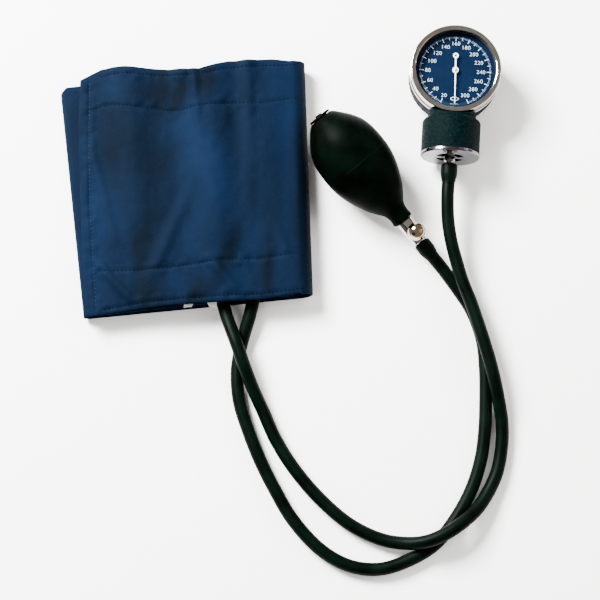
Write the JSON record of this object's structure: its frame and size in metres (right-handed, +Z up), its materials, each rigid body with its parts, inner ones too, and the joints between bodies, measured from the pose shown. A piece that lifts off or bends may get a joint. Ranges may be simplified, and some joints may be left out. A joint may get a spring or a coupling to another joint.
{
  "type": "aneroid sphygmomanometer",
  "caption": "Blood pressure kit laid out flat: rolled arm cuff, squeeze bulb with release valve, two rubber tubes and a round dial gauge on a drum neck.",
  "frame": {"origin": "middle of the kit's plan without its free tubes, at the level of the table it lies on", "axes": "+Z up from the table, +X from the cuff towards the gauge, +Y away from the loop of the tubes"},
  "size_m": [0.2764, 0.3351, 0.0461],
  "materials": {
    "navy_nylon": "fine woven navy nylon with a soft sheen",
    "navy_pile": "dark hook and loop pile",
    "white_tape": "plain woven tape",
    "black_rubber": "satin moulded rubber",
    "dull_rubber": "matte moulded rubber",
    "chrome": "polished chrome",
    "steel": "turned steel",
    "brass": "machined brass",
    "wrinkle_paint": "black-green wrinkle paint",
    "dark_ring": "matte dark ring",
    "dial_blue": "mid-blue printed dial",
    "pointer_white": "white enamel",
    "clear_glass": "clear flat glass"
  },
  "bodies": {
    "kit": {"cuff_wrap": "navy_nylon", "cuff_lining": "navy_nylon", "loop_patch": "navy_pile", "care_label": "white_tape", "air_bladder": "dull_rubber", "bladder_gauge_port": "dull_rubber", "bladder_bulb_port": "dull_rubber", "gauge_tube": "black_rubber", "bulb_tube": "black_rubber", "gauge_tube_end": "black_rubber", "bulb_tube_end": "black_rubber", "rubber_bulb": "black_rubber", "inlet_valve_body": "dull_rubber", "inlet_valve_cage": "steel", "release_valve_body": "chrome", "check_valve_seat": "brass", "screw_seal": "dull_rubber", "gauge_case": "wrinkle_paint", "flange_ring": "chrome", "bezel": "chrome", "crystal": "clear_glass", "spacer_ring": "dark_ring", "dial_plate": "dial_blue", "end_cap": "chrome", "hose_nipple": "chrome", "diaphragm_capsule": "brass", "movement_bottom_plate": "brass", "movement_top_plate": "brass", "hairspring": "steel", "movement_pillar_1": "brass", "movement_pillar_2": "brass", "movement_pillar_3": "brass", "plate_screw_1": "steel", "plate_screw_2": "steel", "plate_screw_3": "steel"},
    "flap": {"cuff_flap": "navy_nylon", "hook_patch": "navy_pile"},
    "sector": {"sector_gear": "brass", "sector_arbor": "steel", "lever_arm": "steel"},
    "pointer_arbor": {"pointer": "pointer_white", "pinion": "brass"},
    "rod": {"push_rod": "steel"},
    "pad": {"relief_pad": "dull_rubber"},
    "screw": {"thumb_screw": "chrome"},
    "inlet_flap": {"inlet_valve_flap": "dull_rubber"},
    "check_ball": {"check_valve_ball": "steel"}
  },
  "joints": [
    {"name": "cuff_flap_lift", "type": "hinge", "parent": "kit", "child": "flap", "pos_m": [0.01246, -0.07626, 0.0176], "axis": [-0.039, 0.9992, 0], "range_deg": [0, 110]},
    {"name": "sector_swing", "type": "hinge", "parent": "kit", "child": "sector", "pos_m": [0.10369, 0.04202, 0.0134], "axis": [0, 0, 1], "range_deg": [0, 28.12], "stiffness_Nm_per_rad": 0.001},
    {"name": "pointer_turn", "type": "hinge", "parent": "kit", "child": "pointer_arbor", "pos_m": [0.1091, 0.0621, 0.0134], "axis": [0, 0, -1], "range_deg": [0, 337.5]},
    {"name": "push_rod_slide", "type": "slide", "parent": "kit", "child": "rod", "axis": [0.0698, 0.9976, 0], "range_m": [0, 0.00196]},
    {"name": "relief_pad_lift", "type": "slide", "parent": "kit", "child": "pad", "axis": [0.1345, -0.1586, 0.9781], "range_m": [0, 0.0014]},
    {"name": "thumb_screw_turn", "type": "hinge", "parent": "pad", "child": "screw", "pos_m": [0.08279, -0.03702, 0.01106], "axis": [0.1345, -0.1586, 0.9781], "range_deg": [0, 720]},
    {"name": "inlet_flap_lift", "type": "slide", "parent": "kit", "child": "inlet_flap", "axis": [0.6326, -0.7461, -0.2079], "range_m": [0, 0.0008]},
    {"name": "check_ball_lift", "type": "slide", "parent": "kit", "child": "check_ball", "axis": [0.6326, -0.7461, -0.2079], "range_m": [0, 0.0008]}
  ],
  "couplings": [
    {"joint": "pointer_turn", "follows": "sector_swing", "ratio": 12},
    {"joint": "push_rod_slide", "follows": "sector_swing", "m_per_rad": 0.004},
    {"joint": "relief_pad_lift", "follows": "thumb_screw_turn", "m_per_rad": 0.00011141}
  ]
}
